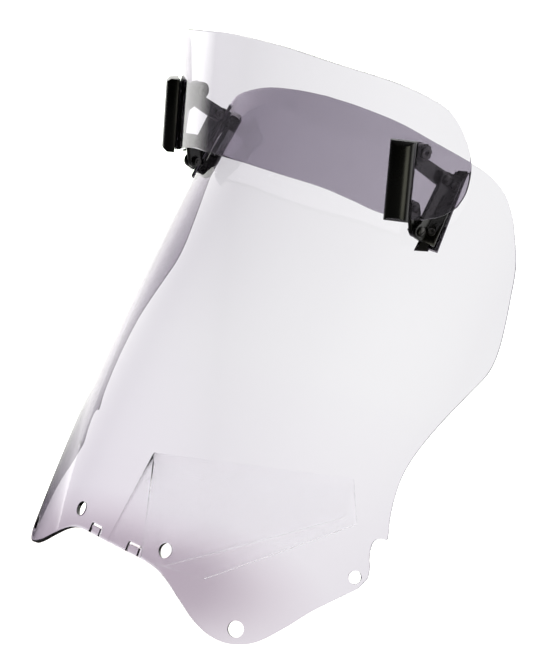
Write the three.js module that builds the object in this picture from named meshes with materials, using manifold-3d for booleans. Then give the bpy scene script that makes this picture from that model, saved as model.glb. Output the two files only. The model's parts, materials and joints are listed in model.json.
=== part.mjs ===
// Motorcycle windshield: a tinted main screen with an adjustable spoiler blade on two
// four-bar mechanisms, and the clear wedge that it leans on.
// Millimetres, +Z up, front towards -Y, mirror plane X = 0, floor at Z = 0.
// "left" is the rider's left, the +X side.

import * as THREE from 'three';
import { mergeVertices } from 'three/addons/utils/BufferGeometryUtils.js';
import Module from 'manifold-3d';

const wasm = await Module();
wasm.setup();

// ---------------------------------------------------------------- driving dimensions

const GAP = 0.3;                    // air left between pieces that touch

// Plan section shared by both sheets: a front arc, tighter corner arcs, then flat sides.
const FRONT_RADIUS = 290;
const FRONT_ANGLE = THREE.MathUtils.degToRad(22);
const CORNER_RADIUS = 170;
const CORNER_ANGLE = THREE.MathUtils.degToRad(69);

// Side view of the main screen along X = 0, between its lower edge and its top edge.
const SCREEN_LOW_Z = 47;
const SCREEN_HEIGHT = 365;
const SCREEN_LOW_Y = -141;
const SCREEN_LEAN = 188.5;
const SCREEN_SWEEP = 45.5;
const SCREEN_THICKNESS = 3.5;

// Fastening holes of the main screen as [s, z, radius], on the right half.
const SCREEN_HOLES = [[60, 57.7, 6.5], [149.5, 12.5, 7], [231.4, 56.1, 5.5]];

// Locating tongue at the lower edge: a three-sided groove that leaves a thin web.
const TONGUE_S = 27;
const TONGUE_Z = 47.5;
const TONGUE_HALF_WIDTH = 8;
const TONGUE_GROOVE = 2.2;
const TONGUE_WEB = 0.9;
const TONGUE_LENGTH = 12;           // from its middle down past the sheet's edge
const TONGUE_FLARE = 1;
const NOTCH_S = 243;
const NOTCH_Z = 72;

// Side view of the spoiler blade along X = 0.
const BLADE_LOW_Z = 347;
const BLADE_LOW_Y = 0;
const BLADE_SLOPE = 0.07;
const BLADE_THICKNESS = 3.5;

// Pivots of the four-bar mechanism, as [y, z], and the X of its middle plane.
const MECHANISM_X = 148;
const SCREEN_UPPER_PIVOT = [90, 370.7];
const SCREEN_LOWER_PIVOT = [63, 329.5];
const BLADE_LOWER_PIVOT = [59.6, 349.4];
const BLADE_UPPER_PIVOT = [66.3, 396.4];
const LINK_THICKNESS = 4.4;
const LUG_THICKNESS = 4;
const LAYER_GAP = 0.5;

const PIN_RADIUS = 2;
const SCREEN_SCREW_HEAD_RADIUS = 4.2;
const BLADE_SCREW_HEAD_RADIUS = 3.2;
const HEAD_RIM = 1.6;
const HEAD_HEIGHT = 2.4;
const HEAD_TAPER = 0.7;
const SLOT_WIDTH = 1;
const SLOT_DEPTH = 0.7;
const NUT_THICKNESS = 3;
const NUT_RADIUS = 4.2;
const THREAD_BEYOND_NUT = 0.6;

const UPPER_LINK_EYE_RADIUS = 7.6;
const UPPER_LINK_ELBOW = { back: 1.5, drop: 9, radius: 6 };
const UPPER_LINK_END_RADIUS = 6.8;
const LOWER_LINK_RADIUS = 6;
const LOWER_LINK_END_RADIUS = 6.2;

const BUSH_RADIUS = 3.2;
const BUSH_BORE = 2;
const FLANGE_RADIUS = 5.2;
const FLANGE_THICKNESS = 1.5;
const BUSH_CLEARANCE = 1;           // room in the upper link's eye: the linkage is open here

const DETENT_THICKNESS = 1.6;
const DETENT_TEETH = 10;
const DETENT_RADIUS = 7.8;
const DETENT_DEPTH = 0.9;

// Clamps on the sheets: pad, half-round bar, plate and two screws.
const PAD_THICKNESS = 1;
const PAD_CLEARANCE = 0.4;          // the flat bar stands off the curved pad by this much
const PAD_LENGTH = 62;
const BAR_LENGTH = 67.5;
const BAR_HEIGHT = 11.5;
const BAR_EDGE = 2;
const BAR_CHAMFER = 1.2;
const BAR_SHOULDER = 1.5;           // how far in from its sides the bar turns into its round back
const PLATE_PAD_INSET = { inner: 0.5, outer: 0.3 };
const PLATE_THICKNESS = 3.5;
const PLATE_LENGTH = 64;
const LUG_OVERLAP = 1.5;            // how deep a lug's foot sits in its plate
const CLAMP_SCREW_SPACING = 44;
const CLAMP_SCREW_RADIUS = 2;
const CLAMP_SCREW_BITE = 4;
const CLAMP_HEAD_RADIUS = 3.4;
const CLAMP_HEAD_HEIGHT = 1.8;
const CLAMP_RECESS_RADIUS = 1.5;
const CLAMP_RECESS_DEPTH = 0.8;

// Grid cells across and up each sheet.
const SCREEN_GRID = [32, 18];
const BLADE_GRID = [32, 6];
const PAD_GRID = [2, 4];

const WEDGE_THICKNESS = 3;

// How far cutting tools reach past a piece, and to each side of a sheet.
const CUT_MARGIN = 1;
const SHEET_CUT_REACH = 20;

// ---------------------------------------------------------------- materials

function material(color, roughness, metalness, opacity = 1) {
  return new THREE.MeshStandardMaterial({
    color,
    roughness,
    metalness,
    opacity,
    transparent: opacity < 1,
    side: THREE.DoubleSide,
  });
}

const tintedAcrylic = material(0xb9b2c2, 0.05, 0, 0.4);
const clearAcrylic = material(0xe8e8ec, 0.04, 0, 0.25);
const blackPlastic = material(0x14140f, 0.38, 0);
const darkSteel = material(0x2a2a2c, 0.35, 0.9);
const rubber = material(0x1c1c1e, 0.85, 0);

const group = new THREE.Group();

function addPiece(name, geometry, pieceMaterial) {
  const mesh = new THREE.Mesh(geometry, pieceMaterial);
  mesh.name = name;
  group.add(mesh);
}

// ---------------------------------------------------------------- solids

function toSolid(geometry) {
  const bare = geometry.clone();
  bare.deleteAttribute('normal');
  bare.deleteAttribute('uv');
  const merged = mergeVertices(bare, 1e-4);
  return new wasm.Manifold(new wasm.Mesh({
    numProp: 3,
    vertProperties: new Float32Array(merged.attributes.position.array),
    triVerts: new Uint32Array(merged.index.array),
  }));
}

function toGeometry(solid) {
  const mesh = solid.getMesh();
  const geometry = new THREE.BufferGeometry();
  geometry.setAttribute('position', new THREE.BufferAttribute(mesh.vertProperties, 3));
  geometry.setIndex(new THREE.BufferAttribute(mesh.triVerts, 1));
  return geometry;
}

function joined(first, ...others) {
  return others.reduce((solid, other) => solid.add(other), first);
}

function cut(solid, cutters) {
  return cutters.reduce((rest, cutter) => rest.subtract(cutter), solid);
}

// The same piece on the other side of X = 0, with its faces turned the right way round.
function mirrored(geometry) {
  const copy = geometry.clone();
  copy.scale(-1, 1, 1);
  const index = copy.index.array.slice();
  for (let i = 0; i < index.length; i += 3) {
    [index[i], index[i + 1]] = [index[i + 1], index[i]];
  }
  copy.setIndex(new THREE.BufferAttribute(index, 1));
  return copy;
}

function addPair(name, solid, pieceMaterial) {
  const geometry = toGeometry(solid);
  addPiece(`${name}_left`, geometry, pieceMaterial);
  addPiece(`${name}_right`, mirrored(geometry), pieceMaterial);
}

// ---------------------------------------------------------------- sheet surfaces

// Plan section at arc length s from the middle: x across, depth towards the rear.
function planSection(s) {
  const length = Math.abs(s);
  const frontEnd = FRONT_RADIUS * FRONT_ANGLE;
  const cornerEnd = frontEnd + CORNER_RADIUS * (CORNER_ANGLE - FRONT_ANGLE);
  const frontX = FRONT_RADIUS * Math.sin(FRONT_ANGLE);
  const frontDepth = FRONT_RADIUS * (1 - Math.cos(FRONT_ANGLE));
  let angle;
  let x;
  let depth;
  if (length < frontEnd) {
    angle = length / FRONT_RADIUS;
    x = FRONT_RADIUS * Math.sin(angle);
    depth = FRONT_RADIUS * (1 - Math.cos(angle));
  } else {
    angle = Math.min(FRONT_ANGLE + (length - frontEnd) / CORNER_RADIUS, CORNER_ANGLE);
    x = frontX + CORNER_RADIUS * (Math.sin(angle) - Math.sin(FRONT_ANGLE));
    depth = frontDepth + CORNER_RADIUS * (Math.cos(FRONT_ANGLE) - Math.cos(angle));
    const beyond = Math.max(length - cornerEnd, 0);
    x += beyond * Math.cos(angle);
    depth += beyond * Math.sin(angle);
  }
  const side = s < 0 ? -1 : 1;
  return { x: side * x, depth, angle: side * angle };
}

const mainSurface = {
  middleY(z) {
    const t = (z - SCREEN_LOW_Z) / SCREEN_HEIGHT;
    return SCREEN_LOW_Y + SCREEN_LEAN * t + SCREEN_SWEEP * t * t;
  },
  slope(z) {
    const t = (z - SCREEN_LOW_Z) / SCREEN_HEIGHT;
    return (SCREEN_LEAN + 2 * SCREEN_SWEEP * t) / SCREEN_HEIGHT;
  },
};

const bladeSurface = {
  middleY(z) {
    return BLADE_LOW_Y + BLADE_SLOPE * (z - BLADE_LOW_Z);
  },
  slope() {
    return BLADE_SLOPE;
  },
};

// Middle of the sheet at (s, z), with its outward (front) normal.
function surfacePoint(surface, s, z) {
  const section = planSection(s);
  const point = new THREE.Vector3(section.x, surface.middleY(z) + section.depth, z);
  const normal = new THREE.Vector3(Math.tan(section.angle), -1, surface.slope(z)).normalize();
  return { point, normal };
}

function offsetPoint(surface, s, z, offset) {
  const { point, normal } = surfacePoint(surface, s, z);
  return point.addScaledVector(normal, offset);
}

// Local frame on a sheet: X along the sheet away from the middle, Y up the sheet in a plane of
// constant X, Z outwards.
function surfaceFrame(surface, s, z) {
  const { point, normal } = surfacePoint(surface, s, z);
  const up = new THREE.Vector3(0, surface.slope(z), 1).normalize();
  const across = new THREE.Vector3().crossVectors(up, normal);
  return new THREE.Matrix4().makeBasis(across, up, normal).setPosition(point);
}

// Closed sheet over a grid: place(column, row) gives the (s, z) of each grid point.
function gridSheet(surface, [columns, rows], place, front, back) {
  const positions = [];
  for (const offset of [front, back]) {
    for (let row = 0; row <= rows; row += 1) {
      for (let column = 0; column <= columns; column += 1) {
        const [s, z] = place(column / columns, row / rows);
        positions.push(...offsetPoint(surface, s, z, offset).toArray());
      }
    }
  }
  const width = columns + 1;
  const layer = width * (rows + 1);
  const index = [];
  const quad = (a, b, c, d) => index.push(a, b, c, a, c, d);
  for (let row = 0; row < rows; row += 1) {
    for (let column = 0; column < columns; column += 1) {
      const a = row * width + column;
      quad(a, a + 1, a + 1 + width, a + width);
      quad(layer + a, layer + a + width, layer + a + 1 + width, layer + a + 1);
    }
  }
  for (let column = 0; column < columns; column += 1) {
    const top = rows * width + column;
    quad(column, layer + column, layer + column + 1, column + 1);
    quad(top, top + 1, layer + top + 1, layer + top);
  }
  for (let row = 0; row < rows; row += 1) {
    const left = row * width;
    const right = left + columns;
    quad(left, left + width, layer + left + width, layer + left);
    quad(right, layer + right, layer + right + width, right + width);
  }
  const geometry = new THREE.BufferGeometry();
  geometry.setAttribute('position', new THREE.Float32BufferAttribute(positions, 3));
  geometry.setIndex(index);
  return toSolid(geometry);
}

// ---------------------------------------------------------------- outlines

function curveThrough(points) {
  return new THREE.SplineCurve(points.map(([s, z]) => new THREE.Vector2(s, z)));
}

// Outlines of the right half as (s, z), each read from the middle or the lower corner.
const screenBottom = curveThrough([
  [0, 47], [36, 46], [57, 43], [73, 36.5], [92, 25], [112, 12.5], [131, 4], [150, 0.6],
  [170, 4], [189, 16.5], [206, 30], [225, 40.5], [238, 47], [244, 56],
]);
const screenSide = curveThrough([
  [244, 56], [246.5, 70], [246.5, 86], [241.5, 101], [237.5, 118], [236, 136], [239.5, 154],
  [249, 175], [263, 197], [272.5, 212], [274, 226], [270, 245], [260, 275], [249, 302], [226, 337.5],
]);
const screenTop = curveThrough([
  [0, 413], [40, 411], [87, 404.5], [131, 392.5], [165, 381], [187, 371.5], [208, 357], [226, 337.5],
]);

const bladeBottom = curveThrough([
  [0, 366], [40, 364.5], [83, 361], [113, 354.5], [140, 346.5], [168, 342.5], [190, 346], [204, 354.5],
]);
const bladeSide = curveThrough([[204, 354.5], [210, 366], [212.5, 381], [211.5, 395], [207.5, 408]]);
const bladeTop = curveThrough([
  [0, 473.5], [40, 472], [83, 466.5], [130, 459], [160, 450.5], [186, 438], [199, 424], [207.5, 408],
]);

// Blends four edge curves over the unit square, so that the grid follows the outline.
function outlinePatch(bottom, side, top) {
  const along = (curve, u) => {
    const half = curve.getPointAt(Math.min(Math.abs(2 * u - 1), 1));
    return [u < 0.5 ? -half.x : half.x, half.y];
  };
  const lowCorner = side.getPointAt(0);
  const highCorner = side.getPointAt(1);
  return (u, v) => {
    const low = along(bottom, u);
    const high = along(top, u);
    const edge = side.getPointAt(v);
    const straight = lowCorner.clone().lerp(highCorner, v);
    const s = low[0] * (1 - v) + high[0] * v + (2 * u - 1) * (edge.x - straight.x);
    const z = low[1] * (1 - v) + high[1] * v + (edge.y - straight.y);
    return [s, z];
  };
}

// ---------------------------------------------------------------- small solids

function placed(geometry, matrix) {
  geometry.applyMatrix4(matrix);
  return toSolid(geometry);
}

// A cylinder along the local Z of a frame, between two heights.
function roundBar(frame, x, y, start, end, radius, segments = 16) {
  const geometry = new THREE.CylinderGeometry(radius, radius, Math.abs(end - start), segments);
  geometry.rotateX(Math.PI / 2);
  geometry.translate(x, y, (start + end) / 2);
  return placed(geometry, frame);
}

function block(frame, x, y, low, high, width, height) {
  const geometry = new THREE.BoxGeometry(width, height, high - low);
  geometry.translate(x, y, (low + high) / 2);
  return placed(geometry, frame);
}

function extruded(shape, frame, depth, bevel = 0) {
  const geometry = new THREE.ExtrudeGeometry(shape, {
    depth: depth - 2 * bevel,
    curveSegments: 5,
    bevelEnabled: bevel > 0,
    bevelThickness: bevel,
    bevelSize: bevel,
    bevelOffset: -bevel,
    bevelSegments: 1,
  });
  geometry.translate(0, 0, bevel);
  return placed(geometry, frame);
}

// Frame whose local X, Y are world Y, Z and whose local Z is world X, so shapes are side views.
function sideFrame(x) {
  const basis = new THREE.Matrix4().makeBasis(
    new THREE.Vector3(0, 1, 0), new THREE.Vector3(0, 0, 1), new THREE.Vector3(1, 0, 0),
  );
  return basis.setPosition(x, 0, 0);
}

function disc(x, [y, z], thickness, radius, segments = 20) {
  return roundBar(sideFrame(x), y, z, 0, thickness, radius, segments);
}

// Side-view shape wrapped round circles given as [y, z, radius], and round a foot's points.
function wrappedShape(circles, foot = []) {
  const sides = 20;
  const points = foot.map(([y, z]) => new THREE.Vector2(y, z));
  for (const [y, z, radius] of circles) {
    for (let i = 0; i < sides; i += 1) {
      const angle = (i / sides) * 2 * Math.PI;
      points.push(new THREE.Vector2(y + radius * Math.cos(angle), z + radius * Math.sin(angle)));
    }
  }
  return new THREE.Shape(convexOutline(points));
}

function convexOutline(points) {
  const sorted = [...points].sort((a, b) => a.x - b.x || a.y - b.y);
  const halfOutline = (list) => {
    const hull = [];
    for (const point of list) {
      while (hull.length > 1 && turn(hull.at(-2), hull.at(-1), point) <= 0) {
        hull.pop();
      }
      hull.push(point);
    }
    return hull.slice(0, -1);
  };
  return [...halfOutline(sorted), ...halfOutline([...sorted].reverse())];
}

function turn(a, b, c) {
  return (b.x - a.x) * (c.y - a.y) - (b.y - a.y) * (c.x - a.x);
}

// ---------------------------------------------------------------- clamps on the sheets

// Each clamp grips its sheet between a half-round bar and a plate that carries the lugs.
// Distances across the sheet are from the clamp's middle line. A plate has an inner edge, and an
// outer edge at the bottom and at the top. A bar may be shifted and tilted in the sheet.
const halfScreen = SCREEN_THICKNESS / 2;
const halfBlade = BLADE_THICKNESS / 2;
const PAD_START = halfScreen + GAP;
const PAD_END = PAD_START + PAD_THICKNESS;
const CLAMP_FACE = PAD_END + PAD_CLEARANCE;
const PLATE_INNER = CLAMP_FACE + GAP;
const PLATE_OUTER = PLATE_INNER + PLATE_THICKNESS;

const bladeClamp = {
  surface: bladeSurface,
  s: 155.5,
  z: 376,
  barSide: 1,
  bar: { width: 22, shift: 0, tilt: 0 },
  barPad: { inner: -9.5, outer: 9.5 },
  plate: { inner: -9.7, outerLow: 3.3, outerHigh: 3.3 },
  screwShift: -6,
  lugX: MECHANISM_X - LINK_THICKNESS / 2 - LAYER_GAP - LUG_THICKNESS,
  lugs: [
    { pivots: [BLADE_UPPER_PIVOT], radius: 8, foot: [378, 405] },
    { pivots: [BLADE_LOWER_PIVOT], radius: 6.5, foot: [346, 359] },
  ],
  bores: [
    { pivot: BLADE_UPPER_PIVOT, radius: BUSH_RADIUS + GAP },
    { pivot: BLADE_LOWER_PIVOT, radius: PIN_RADIUS + GAP },
  ],
};
const screenClamp = {
  surface: mainSurface,
  s: 163.5,
  z: 343,
  barSide: -1,
  bar: { width: 18, shift: -1.75, tilt: THREE.MathUtils.degToRad(6.5) },
  barPad: { inner: -7.75, outer: 4.25 },
  plate: { inner: -5.4, outerLow: 8, outerHigh: 3.2 },
  screwShift: 0.8,
  lugX: MECHANISM_X + LINK_THICKNESS / 2 + LAYER_GAP,
  lugs: [
    { pivots: [SCREEN_UPPER_PIVOT], radius: 6.8, foot: [354, 364] },
    { pivots: [SCREEN_UPPER_PIVOT, SCREEN_LOWER_PIVOT], radius: 4.2, foot: [] },
    { pivots: [SCREEN_LOWER_PIVOT], radius: 6.8, foot: [320, 331] },
  ],
  bores: [
    { pivot: SCREEN_UPPER_PIVOT, radius: PIN_RADIUS + GAP },
    { pivot: SCREEN_LOWER_PIVOT, radius: PIN_RADIUS + GAP },
  ],
};
for (const clamp of [bladeClamp, screenClamp]) {
  clamp.frame = surfaceFrame(clamp.surface, clamp.s, clamp.z);
}

const clampScrewRows = [-CLAMP_SCREW_SPACING / 2, CLAMP_SCREW_SPACING / 2];

function clampScrewHoles(clamp) {
  const radius = CLAMP_SCREW_RADIUS + GAP;
  return clampScrewRows.map((y) => (
    roundBar(clamp.frame, clamp.screwShift, y, -SHEET_CUT_REACH, SHEET_CUT_REACH, radius, 8)
  ));
}

// Half-round clamp bar with a flat back and chamfered ends.
function clampBar(clamp) {
  const half = clamp.bar.width / 2;
  const shoulder = half - BAR_SHOULDER;
  const shape = new THREE.Shape();
  shape.moveTo(-half, 0);
  shape.lineTo(half, 0);
  shape.lineTo(half, BAR_EDGE);
  shape.quadraticCurveTo(shoulder, BAR_HEIGHT, 0, BAR_HEIGHT);
  shape.quadraticCurveTo(-shoulder, BAR_HEIGHT, -half, BAR_EDGE);
  const side = clamp.barSide;
  const ends = new THREE.Matrix4().makeBasis(
    new THREE.Vector3(-side, 0, 0), new THREE.Vector3(0, 0, side), new THREE.Vector3(0, 1, 0),
  );
  ends.setPosition(clamp.bar.shift, -BAR_LENGTH / 2, side * CLAMP_FACE);
  const tilt = new THREE.Matrix4().makeRotationZ(clamp.bar.tilt);
  const place = clamp.frame.clone().multiply(tilt).multiply(ends);
  const bar = extruded(shape, place, BAR_LENGTH, BAR_CHAMFER);
  const mouth = side * (CLAMP_FACE - CUT_MARGIN);
  const bottom = side * (CLAMP_FACE + CLAMP_SCREW_BITE + 0.5);
  const holes = clampScrewRows.map((y) => (
    roundBar(clamp.frame, clamp.screwShift, y, mouth, bottom, CLAMP_SCREW_RADIUS + GAP, 8)
  ));
  return cut(bar, holes);
}

// Rubber pad that follows the sheet, between two distances across it.
function clampPad(clamp, side, inner, outer) {
  const place = (u, v) => [
    clamp.s + inner + u * (outer - inner),
    clamp.z + (v - 0.5) * PAD_LENGTH,
  ];
  const offsets = side > 0 ? [PAD_END, PAD_START] : [-PAD_START, -PAD_END];
  return cut(gridSheet(clamp.surface, PAD_GRID, place, ...offsets), clampScrewHoles(clamp));
}

function barPad(clamp) {
  return clampPad(clamp, clamp.barSide, clamp.barPad.inner, clamp.barPad.outer);
}

function platePad(clamp) {
  const { inner, outerHigh } = clamp.plate;
  const from = inner + PLATE_PAD_INSET.inner;
  const to = outerHigh - PLATE_PAD_INSET.outer;
  return clampPad(clamp, -clamp.barSide, from, to);
}

// Plate on the other side of the sheet, with lugs that carry the pivots. A lug without a foot
// is a bar between two others.
function clampPlate(clamp) {
  const side = -clamp.barSide;
  const { inner, outerLow, outerHigh } = clamp.plate;
  const half = PLATE_LENGTH / 2;
  const outline = new THREE.Shape();
  outline.moveTo(inner, -half);
  outline.lineTo(outerLow, -half);
  outline.lineTo(outerHigh, half);
  outline.lineTo(inner, half);
  const start = side > 0 ? PLATE_INNER : -PLATE_OUTER;
  const plateFrame = clamp.frame.clone().multiply(new THREE.Matrix4().makeTranslation(0, 0, start));
  const plate = extruded(outline, plateFrame, PLATE_THICKNESS);

  const section = sectionAtX(clamp.lugX + LUG_THICKNESS / 2);
  const perOffset = Math.hypot(Math.tan(section.angle), 1, clamp.surface.slope(clamp.z));
  const footOffset = side * (PLATE_INNER + LUG_OVERLAP) * perOffset;
  const lugs = clamp.lugs.map(({ pivots, radius, foot }) => {
    const circles = pivots.map(([y, z]) => [y, z, radius]);
    const footPoints = foot.map((z) => [clamp.surface.middleY(z) + section.depth - footOffset, z]);
    return extruded(wrappedShape(circles, footPoints), sideFrame(clamp.lugX), LUG_THICKNESS);
  });
  const bores = clamp.bores.map(({ pivot, radius }) => (
    disc(clamp.lugX - CUT_MARGIN, pivot, LUG_THICKNESS + 2 * CUT_MARGIN, radius, 16)
  ));
  return cut(joined(plate, ...lugs), [...bores, ...clampScrewHoles(clamp)]);
}

function sectionAtX(x) {
  let low = 0;
  let high = 260;
  for (let i = 0; i < 40; i += 1) {
    const middle = (low + high) / 2;
    if (planSection(middle).x < x) {
      low = middle;
    } else {
      high = middle;
    }
  }
  return planSection(low);
}

// ---------------------------------------------------------------- mechanism pieces

const linkX = MECHANISM_X - LINK_THICKNESS / 2;

// Flat link: each part is wrapped round circles given as [y, z, radius].
function link(parts, pivots, bores) {
  const [first, ...others] = parts.map((circles) => (
    extruded(wrappedShape(circles), sideFrame(linkX), LINK_THICKNESS)
  ));
  const holes = pivots.map((pivot, i) => (
    disc(linkX - CUT_MARGIN, pivot, LINK_THICKNESS + 2 * CUT_MARGIN, bores[i], 16)
  ));
  return cut(joined(first, ...others), holes);
}

// Its arm starts from an elbow below the eye that turns on the bush.
function upperLink() {
  const [y, z] = BLADE_UPPER_PIVOT;
  const eye = [y, z, UPPER_LINK_EYE_RADIUS];
  const elbow = [y - UPPER_LINK_ELBOW.back, z - UPPER_LINK_ELBOW.drop, UPPER_LINK_ELBOW.radius];
  return link(
    [[eye, elbow], [elbow, [...SCREEN_UPPER_PIVOT, UPPER_LINK_END_RADIUS]]],
    [BLADE_UPPER_PIVOT, SCREEN_UPPER_PIVOT],
    [BUSH_RADIUS + BUSH_CLEARANCE, PIN_RADIUS + GAP],
  );
}

function lowerLink() {
  return link(
    [[[...BLADE_LOWER_PIVOT, LOWER_LINK_RADIUS], [...SCREEN_LOWER_PIVOT, LOWER_LINK_END_RADIUS]]],
    [BLADE_LOWER_PIVOT, SCREEN_LOWER_PIVOT],
    [PIN_RADIUS + GAP, PIN_RADIUS + GAP],
  );
}

// Turned piece along X: the profile gives [x, radius] pairs between its two ends on the axis.
function turnedPiece([y, z], profile, segments = 12) {
  const points = profile.map(([x, radius]) => new THREE.Vector2(radius, x));
  const geometry = new THREE.LatheGeometry(points, segments);
  const axisAlongX = new THREE.Matrix4().makeBasis(
    new THREE.Vector3(0, 1, 0), new THREE.Vector3(1, 0, 0), new THREE.Vector3(0, 0, -1),
  );
  axisAlongX.setPosition(0, y, z);
  return placed(geometry, axisAlongX);
}

// Screw from outboard: a domed, slotted head, then a shank that ends inboard.
function pivotScrew(pivot, headX, endX, headRadius) {
  const rim = headX + HEAD_RIM;
  const top = headX + HEAD_HEIGHT;
  const screw = turnedPiece(pivot, [
    [endX, 0], [endX, PIN_RADIUS], [headX, PIN_RADIUS], [headX, headRadius],
    [rim, headRadius], [top, HEAD_TAPER * headRadius], [top, 0],
  ]);
  const slot = new THREE.BoxGeometry(2 * SLOT_DEPTH, 3 * headRadius, SLOT_WIDTH);
  slot.translate(top, pivot[0], pivot[1]);
  return screw.subtract(toSolid(slot));
}

function pivotNut(pivot, x) {
  const nut = disc(x, pivot, NUT_THICKNESS, NUT_RADIUS, 6);
  const length = NUT_THICKNESS + 2 * CUT_MARGIN;
  return nut.subtract(disc(x - CUT_MARGIN, pivot, length, PIN_RADIUS + GAP, 10));
}

// Hollow bush with a flange at each end: it is open right through.
function upperBush() {
  const start = bladeClamp.lugX - GAP - FLANGE_THICKNESS;
  const shoulder = start + FLANGE_THICKNESS;
  const end = linkX + LINK_THICKNESS + LAYER_GAP + DETENT_THICKNESS + GAP;
  const tip = end + FLANGE_THICKNESS;
  const bush = turnedPiece(BLADE_UPPER_PIVOT, [
    [start, 0], [start, FLANGE_RADIUS], [shoulder, FLANGE_RADIUS], [shoulder, BUSH_RADIUS],
    [end, BUSH_RADIUS], [end, FLANGE_RADIUS], [tip, FLANGE_RADIUS], [tip, 0],
  ], 16);
  const length = tip - start + 2 * CUT_MARGIN;
  return bush.subtract(disc(start - CUT_MARGIN, BLADE_UPPER_PIVOT, length, BUSH_BORE, 16));
}

// Notched index disc beside the upper link.
function detentDisc() {
  const x = linkX + LINK_THICKNESS + LAYER_GAP;
  const corners = DETENT_TEETH * 4;
  const outline = [];
  for (let i = 0; i < corners; i += 1) {
    const angle = (i / corners) * 2 * Math.PI;
    const radius = i % 4 < 2 ? DETENT_RADIUS : DETENT_RADIUS - DETENT_DEPTH;
    outline.push(new THREE.Vector2(
      BLADE_UPPER_PIVOT[0] + radius * Math.cos(angle),
      BLADE_UPPER_PIVOT[1] + radius * Math.sin(angle),
    ));
  }
  const ring = extruded(new THREE.Shape(outline), sideFrame(x), DETENT_THICKNESS);
  const length = DETENT_THICKNESS + 2 * CUT_MARGIN;
  return ring.subtract(disc(x - CUT_MARGIN, BLADE_UPPER_PIVOT, length, BUSH_RADIUS + GAP));
}

// Clamp screw: its head sits on the plate and its shank runs through into the bar.
function clampScrew(clamp, y) {
  const side = -clamp.barSide;
  const head = PLATE_OUTER + GAP;
  const top = head + CLAMP_HEAD_HEIGHT;
  const tip = CLAMP_FACE + CLAMP_SCREW_BITE;
  const bar = (start, end, radius, segments) => (
    roundBar(clamp.frame, clamp.screwShift, y, side * start, side * end, radius, segments)
  );
  const shank = bar(-tip, head + 0.1, CLAMP_SCREW_RADIUS, 8);
  const cap = bar(head, top, CLAMP_HEAD_RADIUS, 12);
  const recess = bar(top - CLAMP_RECESS_DEPTH, top + CUT_MARGIN, CLAMP_RECESS_RADIUS, 6);
  return joined(shank, cap).subtract(recess);
}

// ---------------------------------------------------------------- assembly: sheets

function sheetHole(surface, s, z, radius) {
  const place = surfaceFrame(surface, s, z);
  return roundBar(place, 0, 0, -SHEET_CUT_REACH, SHEET_CUT_REACH, radius, 18);
}

// Groove round three sides of each locating tongue. A thin web behind it holds the tongue.
function tongueGroove() {
  const outer = TONGUE_HALF_WIDTH;
  const inner = outer - TONGUE_GROOVE;
  const low = -TONGUE_LENGTH;
  const flare = TONGUE_FLARE;
  const shape = new THREE.Shape();
  shape.moveTo(-outer - flare, low);
  shape.lineTo(-outer, outer);
  shape.lineTo(outer, outer);
  shape.lineTo(outer + flare, low);
  shape.lineTo(inner + flare, low);
  shape.lineTo(inner, inner);
  shape.lineTo(-inner, inner);
  shape.lineTo(-inner - flare, low);
  const frame = surfaceFrame(mainSurface, TONGUE_S, TONGUE_Z);
  frame.multiply(new THREE.Matrix4().makeTranslation(0, 0, TONGUE_WEB - halfScreen));
  return extruded(shape, frame, 2 * SCREEN_THICKNESS);
}

// Step cut into the side edge above the rear corner.
function sideNotch() {
  const shape = new THREE.Shape();
  shape.moveTo(12, 16);
  shape.lineTo(-2, 15);
  shape.quadraticCurveTo(-7.5, 13, -7.5, 7);
  shape.quadraticCurveTo(-7, 0, -4, -6);
  shape.quadraticCurveTo(-1, -11, 0, -18);
  shape.lineTo(12, -20);
  const frame = surfaceFrame(mainSurface, NOTCH_S, NOTCH_Z);
  frame.multiply(new THREE.Matrix4().makeTranslation(0, 0, -SHEET_CUT_REACH));
  return extruded(shape, frame, 2 * SHEET_CUT_REACH);
}

function withMirrorImages(solids) {
  const images = solids.map((solid) => toSolid(mirrored(toGeometry(solid))));
  return [...solids, ...images];
}

function mainScreen() {
  const place = outlinePatch(screenBottom, screenSide, screenTop);
  const sheet = gridSheet(mainSurface, SCREEN_GRID, place, halfScreen, -halfScreen);
  const cutters = [
    ...SCREEN_HOLES.map(([s, z, radius]) => sheetHole(mainSurface, s, z, radius)),
    tongueGroove(),
    sideNotch(),
    ...clampScrewHoles(screenClamp),
  ];
  return cut(sheet, withMirrorImages(cutters));
}

function spoilerBlade() {
  const place = outlinePatch(bladeBottom, bladeSide, bladeTop);
  const sheet = gridSheet(bladeSurface, BLADE_GRID, place, halfBlade, -halfBlade);
  return cut(sheet, withMirrorImages(clampScrewHoles(bladeClamp)));
}

addPiece('main_screen', toGeometry(mainScreen()), tintedAcrylic);
addPiece('spoiler_blade', toGeometry(spoilerBlade()), tintedAcrylic);

// ---------------------------------------------------------------- assembly: support wedge

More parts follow.
